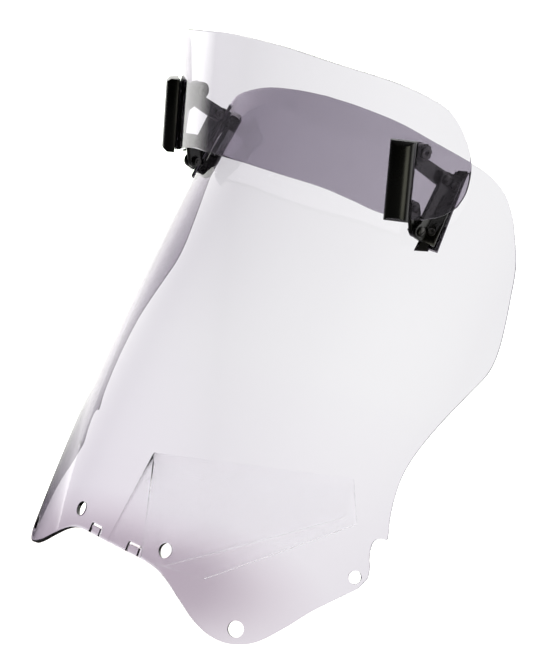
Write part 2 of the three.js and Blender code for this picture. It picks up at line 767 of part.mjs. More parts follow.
// Folded clear sheet: two sloping sides that meet at a ridge, tall in front and low behind.
function supportWedge() {
  const sections = [
    { ridgeY: -95.5, ridge: 121.5, footY: -127, foot: 37, halfWidth: 26 },
    { ridgeY: -60, ridge: 109.5, footY: -57, foot: 0, halfWidth: 25 },
    { ridgeY: 142.55, ridge: 42, footY: 137.5, foot: 0, halfWidth: 13 },
  ];
  const positions = [];
  for (const { ridgeY, ridge, footY, foot, halfWidth } of sections) {
    const inner = halfWidth - WEDGE_THICKNESS;
    positions.push(-halfWidth, footY, foot, 0, ridgeY, ridge, halfWidth, footY, foot);
    positions.push(inner, footY, foot, 0, ridgeY, ridge - 3 * WEDGE_THICKNESS, -inner, footY, foot);
  }
  const index = [];
  const ring = 6;
  for (let section = 0; section < sections.length - 1; section += 1) {
    for (let i = 0; i < ring; i += 1) {
      const a = section * ring + i;
      const b = section * ring + ((i + 1) % ring);
      index.push(a, b, a + ring, b, b + ring, a + ring);
    }
  }
  const cap = (start) => [
    [0, 1, 5], [1, 4, 5], [1, 2, 4], [2, 3, 4],
  ].map((triangle) => triangle.map((corner) => start + corner));
  for (const [a, b, c] of cap(0)) {
    index.push(a, c, b);
  }
  for (const [a, b, c] of cap(ring * (sections.length - 1))) {
    index.push(a, b, c);
  }
  const geometry = new THREE.BufferGeometry();
  geometry.setAttribute('position', new THREE.Float32BufferAttribute(positions, 3));
  geometry.setIndex(index);
  return toSolid(geometry);
}

addPiece('support_wedge', toGeometry(supportWedge()), clearAcrylic);

// ---------------------------------------------------------------- assembly: mechanisms

addPair('blade_clamp_bar', clampBar(bladeClamp), blackPlastic);
addPair('blade_front_pad', barPad(bladeClamp), rubber);
addPair('blade_rear_pad', platePad(bladeClamp), rubber);
addPair('blade_bracket', clampPlate(bladeClamp), blackPlastic);

addPair('screen_clamp_bar', clampBar(screenClamp), blackPlastic);
addPair('screen_rear_pad', barPad(screenClamp), rubber);
addPair('screen_front_pad', platePad(screenClamp), rubber);
addPair('screen_bracket', clampPlate(screenClamp), blackPlastic);

addPair('upper_link', upperLink(), blackPlastic);
addPair('lower_link', lowerLink(), blackPlastic);
addPair('upper_pivot_bush', upperBush(), darkSteel);
addPair('detent_disc', detentDisc(), blackPlastic);

function addPivot(name, pivot, headX, nutX, headRadius) {
  addPair(`${name}_screw`, pivotScrew(pivot, headX, nutX - THREAD_BEYOND_NUT, headRadius), darkSteel);
  addPair(`${name}_nut`, pivotNut(pivot, nutX), darkSteel);
}

const screenHeadX = screenClamp.lugX + LUG_THICKNESS + GAP;
const screenNutX = linkX - LAYER_GAP - NUT_THICKNESS;
const bladeHeadX = linkX + LINK_THICKNESS + GAP;
const bladeNutX = bladeClamp.lugX - GAP - NUT_THICKNESS;
addPivot('screen_upper_pivot', SCREEN_UPPER_PIVOT, screenHeadX, screenNutX, SCREEN_SCREW_HEAD_RADIUS);
addPivot('screen_lower_pivot', SCREEN_LOWER_PIVOT, screenHeadX, screenNutX, SCREEN_SCREW_HEAD_RADIUS);
addPivot('blade_lower_pivot', BLADE_LOWER_PIVOT, bladeHeadX, bladeNutX, BLADE_SCREW_HEAD_RADIUS);

for (const [row, y] of [['lower', clampScrewRows[0]], ['upper', clampScrewRows[1]]]) {
  addPair(`blade_clamp_screw_${row}`, clampScrew(bladeClamp, y), darkSteel);
  addPair(`screen_clamp_screw_${row}`, clampScrew(screenClamp, y), darkSteel);
}

export default group;
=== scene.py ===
"""Looks for the motorcycle windshield: tinted sheets, black clamps and links, clear wedge.

Lengths are in millimetres in the helper functions and metres once they reach Blender.
The front is -Y, +X is the rider's left, and the mirror plane is X = 0.
"""

import json
import math

import bmesh
import bpy
import numpy as np
from mathutils import Matrix, Vector

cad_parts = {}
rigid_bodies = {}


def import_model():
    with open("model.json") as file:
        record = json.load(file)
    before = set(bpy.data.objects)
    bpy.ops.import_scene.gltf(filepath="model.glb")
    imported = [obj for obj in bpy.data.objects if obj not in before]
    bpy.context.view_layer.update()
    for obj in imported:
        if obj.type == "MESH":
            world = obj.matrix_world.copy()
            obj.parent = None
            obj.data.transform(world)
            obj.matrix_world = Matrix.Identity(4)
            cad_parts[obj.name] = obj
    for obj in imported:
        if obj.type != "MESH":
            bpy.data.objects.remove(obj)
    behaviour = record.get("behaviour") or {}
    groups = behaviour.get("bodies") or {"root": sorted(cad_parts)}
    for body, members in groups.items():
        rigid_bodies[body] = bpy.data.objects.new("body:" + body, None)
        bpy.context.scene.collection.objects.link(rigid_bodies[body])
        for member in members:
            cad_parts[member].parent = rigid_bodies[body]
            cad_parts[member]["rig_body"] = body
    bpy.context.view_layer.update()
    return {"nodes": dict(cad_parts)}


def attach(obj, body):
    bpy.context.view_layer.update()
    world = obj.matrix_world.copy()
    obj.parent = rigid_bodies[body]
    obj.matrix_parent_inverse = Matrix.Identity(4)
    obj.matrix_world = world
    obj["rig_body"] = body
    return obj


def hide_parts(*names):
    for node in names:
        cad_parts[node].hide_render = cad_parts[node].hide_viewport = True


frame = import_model()

MM = 0.001

# ------------------------------------------------------------------ driving dimensions

FRONT_RADIUS = 290.0
FRONT_ANGLE = math.radians(22)
CORNER_RADIUS = 170.0
CORNER_ANGLE = math.radians(69)
SECTION_LENGTH = 260
SECTION_SAMPLES = 5201

SCREEN_LOW_Z = 47.0
SCREEN_HEIGHT = 365.0
SCREEN_LOW_Y = -141.0
SCREEN_LEAN = 188.5
SCREEN_SWEEP = 45.5

BLADE_LOW_Z = 347.0
BLADE_SLOPE = 0.07

SHEET_THICKNESS = 3.5

# Fastening holes as (s, z, radius), and where the tongues and notches are on the right half.
SCREEN_HOLES = ((60, 57.7, 6.5), (149.5, 12.5, 7), (231.4, 56.1, 5.5))
TONGUE_S = 27
TONGUE_Z = 47.5
TONGUE_WEB = 0.9
NOTCH_S = 243
NOTCH_Z = 72

GAP = 0.3

MECHANISM_X = 148.0
LINK_THICKNESS = 4.4
LUG_THICKNESS = 4.0
LAYER_GAP = 0.5
SCREEN_UPPER_PIVOT = (90.0, 370.7)
SCREEN_LOWER_PIVOT = (63.0, 329.5)
BLADE_LOWER_PIVOT = (59.6, 349.4)
BLADE_UPPER_PIVOT = (66.3, 396.4)

PIN_RADIUS = 2.0
PIN_BORE = PIN_RADIUS + GAP
HEAD_RIM = 1.2
HEAD_HEIGHT = 2.4
SCREEN_HEAD_RADIUS = 4.2
BLADE_HEAD_RADIUS = 3.2
TIP_CHAMFER = 0.4
SLOT_WIDTH = 1.0
SLOT_DEPTH = 0.8
SLOT_TURN = 0.5
NUT_THICKNESS = 3.0
NUT_RADIUS = 4.2
THREAD_BEYOND_NUT = 0.6

# The elbow's Y and Z are from the blade's upper pivot. Its third number is its radius.
UPPER_LINK_EYE_RADIUS = 7.6
UPPER_LINK_ELBOW = (-1.5, -9, 6)
UPPER_LINK_END_RADIUS = 6.8
LOWER_LINK_RADIUS = 6.0
LOWER_LINK_END_RADIUS = 6.2

BUSH_RADIUS = 3.2
BUSH_BORE = 2.0
BUSH_CLEARANCE = 1.0
FLANGE_RADIUS = 5.2
FLANGE_THICKNESS = 1.5

DETENT_THICKNESS = 1.6
DETENT_TEETH = 10
DETENT_RADIUS = 7.8
DETENT_DEPTH = 0.9

PAD_THICKNESS = 1.0
CLAMP_FACE = 3.45
PLATE_INNER = 3.75
PLATE_THICKNESS = 3.5
BAR_LENGTH = 67.5
BAR_HEIGHT = 11.5
BAR_EDGE = 1.8
BAR_SHAPE = (0.75, 0.85)
BAR_END_ANGLE = math.radians(38)
BAR_END_BITE = 3.5
PLATE_LENGTH = 64.0
PAD_LENGTH = 62.0
PLATE_PAD_INSET = (0.5, 0.3)
LUG_OVERLAP = 1.5
CLAMP_SCREW_SPACING = 44.0
CLAMP_SCREW_BITE = 4.0
CLAMP_HEAD_RADIUS = 3.4
CLAMP_HEAD_HEIGHT = 1.8
CLAMP_RECESS_RADIUS = 1.5
CLAMP_RECESS_DEPTH = 0.8

WEDGE_THICKNESS = 3.0

# How far cutting tools reach past a flat piece, and from the middle of a sheet.
CUT_MARGIN = 3
HOLE_CUT_REACH = 15
NOTCH_CUT_REACH = 12
GROOVE_CUT_REACH = 6
CLAMP_CUT_REACH = 20


# ------------------------------------------------------------------ shader helpers


class Shader:
    """A material's node tree, with short calls to add and join nodes."""

    def __init__(self, name):
        self.material = bpy.data.materials.new(name)
        self.material.use_nodes = True
        self.nodes = self.material.node_tree.nodes
        self.links = self.material.node_tree.links
        self.principled = self.nodes["Principled BSDF"]
        self.output = self.nodes["Material Output"]

    def add(self, kind, **values):
        node = self.nodes.new(kind)
        for key, value in values.items():
            if key in node.inputs:
                node.inputs[key].default_value = value
            else:
                setattr(node, key, value)
        return node

    def join(self, source, target):
        self.links.new(source, target)

    def set(self, **values):
        for key, value in values.items():
            self.principled.inputs[key.replace("_", " ")].default_value = value

    def coordinates(self):
        return self.add("ShaderNodeTexCoord").outputs["Object"]

    def noise(self, scale, detail=3.0, roughness=0.5):
        node = self.add("ShaderNodeTexNoise", Scale=scale, Detail=detail, Roughness=roughness)
        self.join(self.coordinates(), node.inputs["Vector"])
        return node.outputs["Fac"]

    def ramp(self, source, low, high, start=0.0, end=1.0):
        node = self.add("ShaderNodeMapRange")
        node.inputs["From Min"].default_value = start
        node.inputs["From Max"].default_value = end
        node.inputs["To Min"].default_value = low
        node.inputs["To Max"].default_value = high
        self.join(source, node.inputs["Value"])
        return node.outputs["Result"]

    def mix(self, factor, first, second):
        node = self.add("ShaderNodeMix", data_type="RGBA")
        node.inputs["A"].default_value = first
        node.inputs["B"].default_value = second
        self.join(factor, node.inputs["Factor"])
        return node.outputs["Result"]

    def bump(self, height, strength, distance):
        node = self.add("ShaderNodeBump", Strength=strength, Distance=distance)
        self.join(height, node.inputs["Height"])
        self.join(node.outputs["Normal"], self.principled.inputs["Normal"])

    def let_light_through(self, color):
        """Shadow rays pass as through a thin tinted pane, so the sheet casts a pale shadow."""
        path = self.add("ShaderNodeLightPath")
        clear = self.add("ShaderNodeBsdfTransparent", Color=color)
        mix = self.add("ShaderNodeMixShader")
        self.join(path.outputs["Is Shadow Ray"], mix.inputs[0])
        self.join(self.principled.outputs[0], mix.inputs[1])
        self.join(clear.outputs[0], mix.inputs[2])
        self.join(mix.outputs[0], self.output.inputs["Surface"])


def tinted_acrylic():
    """Smoke tint held in the thickness of the sheet, so it deepens where the view is slanted."""
    shader = Shader("tinted_acrylic")
    shader.set(IOR=1.49, Transmission_Weight=1.0, Metallic=0.0)
    tint = shader.mix(shader.noise(6.0, 1.0), (1.0, 1.0, 1.0, 1), (0.97, 0.965, 0.975, 1))
    shader.join(tint, shader.principled.inputs["Base Color"])
    shader.join(shader.ramp(shader.noise(40.0), 0.0, 0.006), shader.principled.inputs["Roughness"])
    smoke = shader.add("ShaderNodeVolumeAbsorption", Density=300.0, Color=(0.18, 0.105, 0.243, 1))
    shader.join(smoke.outputs["Volume"], shader.output.inputs["Volume"])
    shader.let_light_through((0.8, 0.78, 0.82, 1))
    return shader.material


def clear_acrylic():
    shader = Shader("clear_acrylic")
    shader.set(IOR=1.1, Transmission_Weight=1.0, Metallic=0.0)
    tint = shader.mix(shader.noise(8.0, 1.0), (1.0, 1.0, 1.0, 1), (0.985, 0.985, 0.99, 1))
    shader.join(tint, shader.principled.inputs["Base Color"])
    shader.join(shader.ramp(shader.noise(60.0), 0.0, 0.008), shader.principled.inputs["Roughness"])
    shader.let_light_through((0.98, 0.98, 0.98, 1))
    return shader.material


def black_plastic():
    shader = Shader("black_plastic")
    grain = shader.noise(1400.0, 2.0)
    wear = shader.noise(35.0, 4.0)
    color = shader.mix(wear, (0.001, 0.001, 0.0009, 1), (0.003, 0.003, 0.0024, 1))
    shader.join(color, shader.principled.inputs["Base Color"])
    shader.join(shader.ramp(wear, 0.2, 0.32), shader.principled.inputs["Roughness"])
    shader.set(IOR=1.4)
    shader.bump(grain, 0.25, 0.00008)
    return shader.material


def dark_steel():
    shader = Shader("dark_steel")
    scratches = shader.noise(500.0, 3.0)
    color = shader.mix(scratches, (0.03, 0.03, 0.032, 1), (0.075, 0.073, 0.07, 1))
    shader.join(color, shader.principled.inputs["Base Color"])
    shader.set(Metallic=0.85)
    shader.join(shader.ramp(scratches, 0.25, 0.45), shader.principled.inputs["Roughness"])
    shader.bump(scratches, 0.15, 0.00005)
    return shader.material


def rubber():
    shader = Shader("rubber")
    grain = shader.noise(900.0, 4.0)
    color = shader.mix(grain, (0.003, 0.003, 0.003, 1), (0.007, 0.007, 0.0075, 1))
    shader.join(color, shader.principled.inputs["Base Color"])
    shader.join(shader.ramp(grain, 0.75, 0.92), shader.principled.inputs["Roughness"])
    shader.bump(grain, 0.3, 0.0001)
    return shader.material


MATERIALS = {
    "tinted_acrylic": tinted_acrylic(),
    "clear_acrylic": clear_acrylic(),
    "black_plastic": black_plastic(),
    "dark_fastener": dark_steel(),
    "rubber_pad": rubber(),
}


# ------------------------------------------------------------------ sheet surfaces


def plan_section(s):
    """Across, depth and turning angle of the plan section at arc length s, as arrays."""
    s = np.asarray(s, float)
    length = np.abs(s)
    front_end = FRONT_RADIUS * FRONT_ANGLE
    corner_end = front_end + CORNER_RADIUS * (CORNER_ANGLE - FRONT_ANGLE)
    front = np.minimum(length / FRONT_RADIUS, FRONT_ANGLE)
    corner = np.clip(FRONT_ANGLE + (length - front_end) / CORNER_RADIUS, FRONT_ANGLE, CORNER_ANGLE)
    beyond = np.maximum(length - corner_end, 0)
    angle = np.where(length < front_end, front, corner)
    x = FRONT_RADIUS * np.sin(front) + CORNER_RADIUS * (np.sin(corner) - math.sin(FRONT_ANGLE))
    x = x + beyond * math.cos(CORNER_ANGLE)
    depth = FRONT_RADIUS * (1 - np.cos(front)) + CORNER_RADIUS * (math.cos(FRONT_ANGLE) - np.cos(corner))
    depth = depth + beyond * math.sin(CORNER_ANGLE)
    side = np.where(s < 0, -1, 1)
    return side * x, depth, side * angle


class MainSurface:
    @staticmethod
    def middle(z):
        t = (np.asarray(z, float) - SCREEN_LOW_Z) / SCREEN_HEIGHT
        return SCREEN_LOW_Y + SCREEN_LEAN * t + SCREEN_SWEEP * t * t

    @staticmethod
    def slope(z):
        t = (np.asarray(z, float) - SCREEN_LOW_Z) / SCREEN_HEIGHT
        return (SCREEN_LEAN + 2 * SCREEN_SWEEP * t) / SCREEN_HEIGHT


class BladeSurface:
    @staticmethod
    def middle(z):
        return BLADE_SLOPE * (np.asarray(z, float) - BLADE_LOW_Z)

    @staticmethod
    def slope(z):
        return np.full_like(np.asarray(z, float), BLADE_SLOPE)


def surface_points(surface, s, z, offset):
    """Points at a distance from the middle of the sheet, outwards where offset is positive."""
    x, depth, angle = plan_section(s)
    points = np.stack([x, surface.middle(z) + depth, np.asarray(z, float)], -1)
    normals = np.stack([np.tan(angle), -np.ones_like(x), surface.slope(z)], -1)
    normals = normals / np.linalg.norm(normals, axis=-1, keepdims=True)
    return points + normals * np.asarray(offset, float)[..., None]


def surface_frame(surface, s, z):
    """Frame on a sheet: X away from the middle, Y up the sheet at constant X, Z outwards."""
    point = Vector(surface_points(surface, s, z, 0.0))
    normal = (Vector(surface_points(surface, s, z, 1.0)) - point).normalized()
    up = Vector((0, float(surface.slope(z)), 1)).normalized()
    across = up.cross(normal)
    columns = Matrix((across, up, normal)).transposed().to_4x4()
    return Matrix.Translation(point) @ columns


# ------------------------------------------------------------------ mesh helpers


def mesh_object(name, vertices, faces):
    """A mesh object from points in millimetres."""
    mesh = bpy.data.meshes.new(name)
    points = [tuple(float(c) * MM for c in vertex) for vertex in vertices]
    mesh.from_pydata(points, [], [tuple(int(i) for i in face) for face in faces])
    mesh.validate()
    thing = bpy.data.objects.new(name, mesh)
    bpy.context.scene.collection.objects.link(thing)
    return thing


def apply_modifiers(thing):
    graph = bpy.context.evaluated_depsgraph_get()
    mesh = bpy.data.meshes.new_from_object(thing.evaluated_get(graph))
    old = thing.data
    thing.modifiers.clear()
    thing.data = mesh
    bpy.data.meshes.remove(old)


def combine(thing, others, operation):
    """Boolean join or cut with other objects, which are then removed."""
    for other in others:
        modifier = thing.modifiers.new("combine", "BOOLEAN")
        modifier.operation = operation
        modifier.solver = "EXACT"
        modifier.object = other
    apply_modifiers(thing)
    for other in others:
        bpy.data.objects.remove(other)


def soften(thing, width, segments=2, angle=35):
    """Rounds the sharp edges, then smooths the shading between them."""
    modifier = thing.modifiers.new("soften", "BEVEL")
    modifier.width = width * MM
    modifier.segments = segments
    modifier.limit_method = "ANGLE"
    modifier.angle_limit = math.radians(angle)
    modifier.harden_normals = False
    modifier.use_clamp_overlap = True
    apply_modifiers(thing)
    smooth(thing, 40)


def smooth(thing, angle=40):
    mesh = thing.data
    mesh.polygons.foreach_set("use_smooth", [True] * len(mesh.polygons))
    mesh.set_sharp_from_angle(angle=math.radians(angle))


def mirror_copy(thing, name):
    copy = thing.copy()
    copy.data = thing.data.copy()
    copy.name = name
    copy.data.transform(Matrix.Scale(-1, 4, (1, 0, 0)))
    copy.data.flip_normals()
    bpy.context.scene.collection.objects.link(copy)
    return copy


DARK_PARTS = bpy.data.collections.new("dark_parts")


def dress(thing, node, slot):
    """Gives a piece its material and body, in place of the CAD node."""
    if "acrylic" not in slot:
        DARK_PARTS.objects.link(thing)
    thing.data.materials.clear()
    thing.data.materials.append(MATERIALS[slot])
    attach(thing, frame["nodes"][node]["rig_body"])
    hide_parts(node)


def dress_pair(thing, name, slot):
    """The same for a left piece and its mirror image."""
    other = mirror_copy(thing, f"{name}_right_shape")
    dress(thing, f"{name}_left", slot)
    dress(other, f"{name}_right", slot)


def side_frame(x):
    """Frame whose X and Y are world Y and Z and whose Z is world X: shapes are side views."""
    columns = Matrix(((0, 0, 1), (1, 0, 0), (0, 1, 0))).to_4x4()
    return Matrix.Translation((x, 0, 0)) @ columns


def prism(name, outline, place, low, high):
    """Straight prism of an outline in the X-Y plane of a frame."""
    count = len(outline)
    points = [place @ Vector((x, y, low)) for x, y in outline]
    points += [place @ Vector((x, y, high)) for x, y in outline]
    faces = [tuple(range(count))[::-1], tuple(range(count, 2 * count))]
    faces += [(i, (i + 1) % count, count + (i + 1) % count, count + i) for i in range(count)]
    return mesh_object(name, points, faces)


def circle(x, y, radius, count=48):
    turns = [2 * math.pi * i / count for i in range(count)]
    return [(x + radius * math.cos(a), y + radius * math.sin(a)) for a in turns]


def cylinder(place, x, y, low, high, radius, count=48):
    return prism("cutter", circle(x, y, radius, count), place, low, high)


def hull_outline(points):
    """Convex outline round a set of points, anticlockwise."""
    points = sorted(set(points))

    def half(sequence):
        hull = []
        for point in sequence:
            while len(hull) > 1 and turn(hull[-2], hull[-1], point) <= 0:
                hull.pop()
            hull.append(point)
        return hull[:-1]

    return half(points) + half(points[::-1])


def turn(a, b, c):
    return (b[0] - a[0]) * (c[1] - a[1]) - (b[1] - a[1]) * (c[0] - a[0])


def turned(name, pivot, profile, count=40):
    """Turned piece along X. The profile gives (x, radius) pairs; ends on the axis close it."""
    vertices, rings = [], []
    for x, radius in profile:
        if radius < 1e-6:
            rings.append([len(vertices)])
            vertices.append((x, pivot[0], pivot[1]))
            continue
        rings.append(list(range(len(vertices), len(vertices) + count)))
        for y, z in circle(pivot[0], pivot[1], radius, count):
            vertices.append((x, y, z))
    faces = []
    for low, high in zip(rings, rings[1:]):
        for i in range(count):
            j = (i + 1) % count
            if len(low) == 1:
                faces.append((low[0], high[j], high[i]))
            elif len(high) == 1:
                faces.append((low[i], low[j], high[0]))
            else:
                faces.append((low[i], low[j], high[j], high[i]))
    thing = mesh_object(name, vertices, faces)
    outward(thing)
    return thing


def outward(thing):
    """Turns every face of a closed mesh outwards."""
    shape = bmesh.new()
    shape.from_mesh(thing.data)
    bmesh.ops.recalc_face_normals(shape, faces=shape.faces)
    shape.to_mesh(thing.data)
    shape.free()


# ------------------------------------------------------------------ outlines


class Curve:
    """Smooth curve through points in the plane, read at even steps along its length."""

    def __init__(self, points, steps=40):
        ends = [points[0], *points, points[-1]]
        samples = []
        for i in range(1, len(ends) - 2):
            a, b, c, d = (np.array(p, float) for p in ends[i - 1 : i + 3])
            for t in np.linspace(0, 1, steps, endpoint=False):
                slope_b, slope_c = (c - a) / 2, (d - b) / 2
                samples.append(
                    (2 * b - 2 * c + slope_b + slope_c) * t**3
                    + (-3 * b + 3 * c - 2 * slope_b - slope_c) * t**2
                    + slope_b * t
                    + b
                )
        samples.append(np.array(points[-1], float))
        self.samples = np.array(samples)
        steps_along = np.linalg.norm(np.diff(self.samples, axis=0), axis=1)
        self.along = np.concatenate([[0], np.cumsum(steps_along)])
        self.along /= self.along[-1]

    def at(self, u):
        x = np.interp(u, self.along, self.samples[:, 0])
        y = np.interp(u, self.along, self.samples[:, 1])
        return x, y


SCREEN_BOTTOM = Curve([
    (0, 47), (36, 46), (57, 43), (73, 36.5), (92, 25), (112, 12.5), (131, 4), (150, 0.6),
    (170, 4), (189, 16.5), (206, 30), (225, 40.5), (238, 47), (244, 56),
])
SCREEN_SIDE = Curve([
    (244, 56), (246.5, 70), (246.5, 86), (241.5, 101), (237.5, 118), (236, 136), (239.5, 154),
    (249, 175), (263, 197), (272.5, 212), (274, 226), (270, 245), (260, 275), (249, 302), (226, 337.5),
])
SCREEN_TOP = Curve([
    (0, 413), (40, 411), (87, 404.5), (131, 392.5), (165, 381), (187, 371.5), (208, 357), (226, 337.5),
])
BLADE_BOTTOM = Curve([
    (0, 366), (40, 364.5), (83, 361), (113, 354.5), (140, 346.5), (168, 342.5), (190, 346), (204, 354.5),
])
BLADE_SIDE = Curve([(204, 354.5), (210, 366), (212.5, 381), (211.5, 395), (207.5, 408)])
BLADE_TOP = Curve([
    (0, 473.5), (40, 472), (83, 466.5), (130, 459), (160, 450.5), (186, 438), (199, 424), (207.5, 408),
])


def outline_patch(bottom, side, top, u, v):
    """Blends four edge curves over the unit square, so that the grid follows the outline."""
    mirror = np.where(u < 0.5, -1, 1)
    away = np.abs(2 * u - 1)
    low_s, low_z = bottom.at(away)
    high_s, high_z = top.at(away)
    edge_s, edge_z = side.at(v)
    (s0, z0), (s1, z1) = side.at(0.0), side.at(1.0)
    bulge_s = edge_s - (s0 * (1 - v) + s1 * v)
    bulge_z = edge_z - (z0 * (1 - v) + z1 * v)
    s = mirror * (low_s * (1 - v) + high_s * v) + (2 * u - 1) * bulge_s
    z = low_z * (1 - v) + high_z * v + bulge_z
    return s, z


def sheet(name, surface, place, columns, rows, front, back):
    """Closed sheet over a grid, with square edges. place(u, v) gives (s, z)."""
    u, v = np.meshgrid(np.linspace(0, 1, columns + 1), np.linspace(0, 1, rows + 1))
    s, z = place(u, v)
    layers = [surface_points(surface, s, z, np.full_like(s, offset)) for offset in (front, back)]
    vertices = np.concatenate([layer.reshape(-1, 3) for layer in layers])
    width = columns + 1
    size = width * (rows + 1)
    cell = (np.arange(rows)[:, None] * width + np.arange(columns)[None, :]).ravel()
    faces = [(a, a + 1, a + 1 + width, a + width) for a in cell]
    faces += [(size + a, size + a + width, size + a + 1 + width, size + a + 1) for a in cell]
    rim = [*range(columns), *(columns + width * r for r in range(rows))]
    rim += [*(size - 1 - c for c in range(columns)), *(size - width - width * r for r in range(rows))]
    for a, b in zip(rim, rim[1:] + rim[:1]):
        faces.append((a, size + a, size + b, b))
    thing = mesh_object(name, vertices, faces)
    outward(thing)
    return thing


# ------------------------------------------------------------------ clamps


class Clamp:
    """Where a clamp grips its sheet. bar_side is 1 where the half-round bar is outside.

    bar holds its width, shift and tilt, and bar_pad its two edges. plate holds the plate's
    inner edge, and its outer edge at the bottom and at the top.
    """

    def __init__(self, surface, s, z, bar_side, bar, bar_pad, plate, screw_shift, lug_x, lugs, bores):
        self.surface = surface
        self.s = s
        self.z = z
        self.bar_side = bar_side
        self.bar = bar
        self.bar_pad = bar_pad
        self.plate = plate
        self.screw_shift = screw_shift
        self.lug_x = lug_x
        self.lugs = lugs
        self.bores = bores
        self.place = surface_frame(surface, s, z)

    def screw_holes(self):
        rows = (-CLAMP_SCREW_SPACING / 2, CLAMP_SCREW_SPACING / 2)
        low, high = -CLAMP_CUT_REACH, CLAMP_CUT_REACH
        return [cylinder(self.place, self.screw_shift, y, low, high, PIN_BORE, 24) for y in rows]


# Each lug: its pivots, the radius round them, and where its foot starts and ends in Z. A lug
# without a foot is a bar between two others.
BLADE_CLAMP = Clamp(
    BladeSurface,
    s=155.5,
    z=376,
    bar_side=1,
    bar=(22, 0, 0),
    bar_pad=(-9.5, 9.5),
    plate=(-9.7, 3.3, 3.3),
    screw_shift=-6,
    lug_x=MECHANISM_X - LINK_THICKNESS / 2 - LAYER_GAP - LUG_THICKNESS,
    lugs=(((BLADE_UPPER_PIVOT,), 8, (378, 405)), ((BLADE_LOWER_PIVOT,), 6.5, (346, 359))),
    bores=((BLADE_UPPER_PIVOT, BUSH_RADIUS + GAP), (BLADE_LOWER_PIVOT, PIN_BORE)),
)
SCREEN_CLAMP = Clamp(
    MainSurface,
    s=163.5,
    z=343,
    bar_side=-1,
    bar=(18, -1.75, math.radians(6.5)),
    bar_pad=(-7.75, 4.25),
    plate=(-5.4, 8, 3.2),
    screw_shift=0.8,
    lug_x=MECHANISM_X + LINK_THICKNESS / 2 + LAYER_GAP,
    lugs=(
        ((SCREEN_UPPER_PIVOT,), 6.8, (354, 364)),
        ((SCREEN_UPPER_PIVOT, SCREEN_LOWER_PIVOT), 4.2, ()),
        ((SCREEN_LOWER_PIVOT,), 6.8, (320, 331)),
    ),
    bores=((SCREEN_UPPER_PIVOT, PIN_BORE), (SCREEN_LOWER_PIVOT, PIN_BORE)),
)


def section_at_x(x):
    """Depth and turning angle of the plan section where it crosses X."""
    lengths = np.linspace(0, SECTION_LENGTH, SECTION_SAMPLES)
    across, depth, angle = plan_section(lengths)
    return float(np.interp(x, across, depth)), float(np.interp(x, across, angle))


def clamp_bar(clamp, name):
    """Half-round bar with a flat back and facets cut across its ends."""
    width, shift, tilt = clamp.bar
    half = width / 2
    outline = [(-half, 0), (half, 0)]
    steps = 24
    wide_power, high_power = BAR_SHAPE
    for i in range(steps + 1):
        a = math.pi * i / steps
        wide = math.copysign(abs(math.cos(a)) ** wide_power, math.cos(a))
        outline.append((half * wide, BAR_EDGE + (BAR_HEIGHT - BAR_EDGE) * math.sin(a) ** high_power))
    side = clamp.bar_side
    middle = clamp.place @ Matrix.Rotation(tilt, 4, "Z") @ Matrix.Translation((shift, 0, 0))
    basis = Matrix(((-side, 0, 0), (0, 0, 1), (0, side, 0))).to_4x4()
    place = middle @ Matrix.Translation((0, 0, side * CLAMP_FACE)) @ basis
    bar = prism(name, outline, place, -BAR_LENGTH / 2, BAR_LENGTH / 2)
    outward(bar)
    slices = []
    for end in (-1, 1):
        slope = Matrix.Rotation(end * side * BAR_END_ANGLE, 4, "X")
        move = Matrix.Translation((0, end * (BAR_LENGTH / 2 + 1), side * (CLAMP_FACE + BAR_HEIGHT)))
        along = sorted((-BAR_END_BITE * end, 30 * end))
        reach = (-CLAMP_CUT_REACH, CLAMP_CUT_REACH)
        slices.append(block("slice", middle @ move @ slope, reach, along, reach))
    combine(bar, slices, "DIFFERENCE")
    soften(bar, 0.7, 3, 30)
    return bar


def block(name, place, x_range, y_range, z_range):
    (x0, x1), (y0, y1) = x_range, y_range
    return prism(name, [(x0, y0), (x1, y0), (x1, y1), (x0, y1)], place, *z_range)


def clamp_plate(clamp, name):
    """Plate on the other side of the sheet from the bar, with the lugs that carry the pivots."""
    side = -clamp.bar_side
    inner, outer_low, outer_high = clamp.plate
    half = PLATE_LENGTH / 2
    outline = [(inner, -half), (outer_low, -half), (outer_high, half), (inner, half)]
    low, high = sorted((side * PLATE_INNER, side * (PLATE_INNER + PLATE_THICKNESS)))
    plate = prism(name, outline, clamp.place, low, high)
    depth, angle = section_at_x(clamp.lug_x + LUG_THICKNESS / 2)
    factor = math.hypot(math.tan(angle), 1, float(clamp.surface.slope(clamp.z)))
    lugs = []
    for pivots, radius, ends in clamp.lugs:
        points = []
        for foot_z in ends:
            sheet_y = float(clamp.surface.middle(foot_z)) + depth
            points.append((sheet_y - side * (PLATE_INNER + LUG_OVERLAP) * factor, foot_z))
        for pivot in pivots:
            points += circle(*pivot, radius, 40)
        lugs.append(prism("lug", hull_outline(points), side_frame(clamp.lug_x), 0, LUG_THICKNESS))
    combine(plate, lugs, "UNION")
    bores = []
    for pivot, bore in clamp.bores:
        low, high = -CUT_MARGIN, LUG_THICKNESS + CUT_MARGIN
        bores.append(cylinder(side_frame(clamp.lug_x), *pivot, low, high, bore, 32))
    combine(plate, bores + clamp.screw_holes(), "DIFFERENCE")
    soften(plate, 0.45, 2, 35)
    return plate


def clamp_pad(clamp, name, side, inner, outer):
    """Thin pad that follows the sheet between two distances across it."""
    def place(u, v):
        return clamp.s + inner + u * (outer - inner), clamp.z + (v - 0.5) * PAD_LENGTH

    near = SHEET_THICKNESS / 2 + GAP
    far = near + PAD_THICKNESS
    front, back = (far, near) if side > 0 else (-near, -far)
    pad = sheet(name, clamp.surface, place, columns=12, rows=24, front=front, back=back)
    combine(pad, clamp.screw_holes(), "DIFFERENCE")
    soften(pad, 0.25, 2, 40)
    return pad


def bar_pad(clamp, name):
    return clamp_pad(clamp, name, clamp.bar_side, *clamp.bar_pad)


